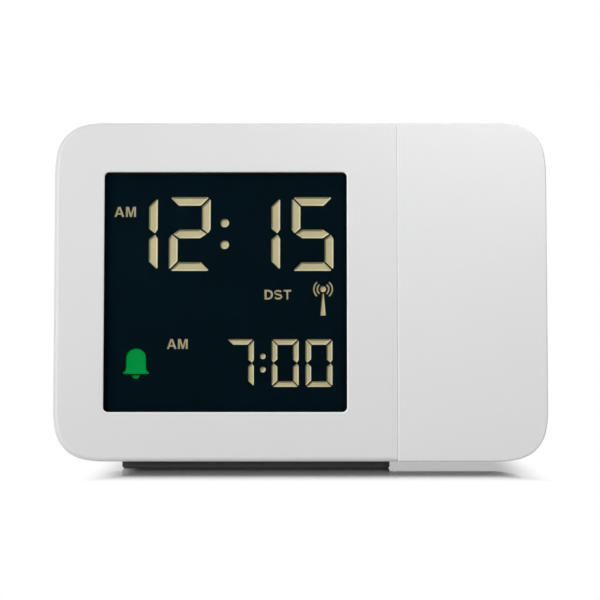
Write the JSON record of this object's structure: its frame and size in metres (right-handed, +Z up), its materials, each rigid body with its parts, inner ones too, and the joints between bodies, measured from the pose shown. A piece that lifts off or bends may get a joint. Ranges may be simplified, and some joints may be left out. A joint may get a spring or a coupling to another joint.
{
  "type": "projection alarm clock",
  "caption": "Digital alarm clock with a square display and a swivelling projector section beside it that throws the time on a ceiling or wall.",
  "frame": {"origin": "centre of the bounding box at the surface that the clock stands on", "axes": "+X to the right across the face, +Y from the face to the back, +Z up"},
  "size_m": [0.137, 0.044, 0.0962],
  "materials": {
    "housing_white": "fine satin moulded ABS",
    "window_clear": "polished acrylic window with a black printed border",
    "lcd_dark": "negative LCD, near black",
    "clear_acrylic": "clear moulded light guide",
    "white_sheet": "white reflector film",
    "inner_plastic": "unpainted moulding",
    "led_package": "lamp package",
    "contact_rubber": "layered conductive rubber",
    "circuit_board": "solder mask on glass fibre board",
    "chip_black": "moulded chip package",
    "steel": "plated steel",
    "capacitor_sleeve": "shrink sleeve",
    "foot_rubber": "moulded rubber",
    "cell_jacket": "plain cell jacket",
    "switch_black": "black moulding",
    "control_grey": "satin moulding",
    "ferrite": "sintered ferrite",
    "copper_winding": "enamelled winding",
    "bearing_plastic": "acetal",
    "shaft_metal": "turned",
    "lens_clear": "polished clear lens",
    "wire_sleeve": "sleeved wires",
    "connector_white": "moulded connector"
  },
  "bodies": {
    "clock_body": {"front_bezel": "housing_white", "rear_housing": "housing_white", "display_window": "window_clear", "lcd_glass": "lcd_dark", "light_guide": "clear_acrylic", "reflector_sheet": "white_sheet", "lcd_frame": "inner_plastic", "backlight_leds": "led_package", "zebra_strips": "contact_rubber", "main_board": "circuit_board", "control_board": "circuit_board", "radio_board": "circuit_board", "main_chip": "chip_black", "quartz_crystal": "steel", "board_capacitors": "capacitor_sleeve", "board_screws": "steel", "housing_screws": "steel", "control_board_screws": "steel", "rubber_foot": "foot_rubber", "battery_cells": "cell_jacket", "battery_contacts": "steel", "battery_springs": "steel", "tact_switches": "switch_black", "slide_switches": "switch_black", "dial_encoder": "switch_black", "snooze_switch": "switch_black", "speaker": "switch_black", "dc_jack": "switch_black", "antenna_rod": "ferrite", "antenna_coil": "copper_winding", "swivel_bush": "bearing_plastic", "clock_harness": "wire_sleeve", "harness_connector": "connector_white", "board_ribbon": "connector_white"},
    "projector_module": {"projector_shell": "housing_white", "projector_side_plate": "housing_white", "plate_screws": "steel", "shaft_screws": "steel", "swivel_shaft": "shaft_metal", "spring_washer": "steel", "retaining_ring": "steel", "lamp_board": "circuit_board", "lamp_led": "led_package", "condenser_lens": "lens_clear", "projection_lcd": "lcd_dark", "optics_tube": "switch_black", "optics_screws": "steel", "lens_bezel": "switch_black", "lens_cover": "lens_clear", "projector_harness": "wire_sleeve"},
    "snooze_bar": {"snooze_bar": "housing_white"},
    "set_dial": {"set_dial": "control_grey"},
    "time_button": {"time_button": "control_grey"},
    "alarm_button": {"alarm_button": "control_grey"},
    "alarm_slider": {"alarm_slider": "control_grey"},
    "projection_slider": {"projection_slider": "control_grey"},
    "battery_door": {"battery_door": "housing_white"},
    "focus_wheel": {"focus_wheel": "control_grey"},
    "lens_barrel": {"lens_barrel": "switch_black", "projection_lens": "lens_clear"}
  },
  "joints": [
    {"name": "projector_swivel", "type": "hinge", "parent": "clock_body", "child": "projector_module", "pos_m": [0.0267, 0.004, 0.04905], "axis": [-1, 0, 0], "range_deg": [0, 90]},
    {"name": "snooze_press", "type": "slide", "parent": "clock_body", "child": "snooze_bar", "axis": [0, 0, -1], "range_m": [0, 0.001], "stiffness_N_per_m": 400, "springref_m": -0.0005},
    {"name": "set_dial_turn", "type": "hinge", "parent": "clock_body", "child": "set_dial", "pos_m": [-0.004, 0.01898, 0.06801], "axis": [0, 0.9986, 0.0523], "continuous": true},
    {"name": "time_button_press", "type": "slide", "parent": "clock_body", "child": "time_button", "axis": [0, -0.9986, -0.0523], "range_m": [0, 0.0008], "stiffness_N_per_m": 300, "springref_m": -0.0005},
    {"name": "alarm_button_press", "type": "slide", "parent": "clock_body", "child": "alarm_button", "axis": [0, -0.9986, -0.0523], "range_m": [0, 0.0008], "stiffness_N_per_m": 300, "springref_m": -0.0005},
    {"name": "alarm_slider_move", "type": "slide", "parent": "clock_body", "child": "alarm_slider", "axis": [1, 0, 0], "range_m": [0, 0.003]},
    {"name": "projection_slider_move", "type": "slide", "parent": "clock_body", "child": "projection_slider", "axis": [1, 0, 0], "range_m": [0, 0.003]},
    {"name": "battery_door_open", "type": "hinge", "parent": "clock_body", "child": "battery_door", "pos_m": [-0.0295, 0.02046, 0.02062], "axis": [-1, 0, 0], "range_deg": [0, 80]},
    {"name": "focus_turn", "type": "hinge", "parent": "projector_module", "child": "focus_wheel", "pos_m": [0.0477, 0.00545, 0.0785], "axis": [0, 0, 1], "range_deg": [-110, 110]},
    {"name": "lens_focus", "type": "slide", "parent": "projector_module", "child": "lens_barrel", "axis": [0, 0, 1], "range_m": [-0.00123, 0.00123]}
  ],
  "couplings": [
    {"joint": "lens_focus", "follows": "focus_turn", "m_per_rad": 0.00063662}
  ]
}
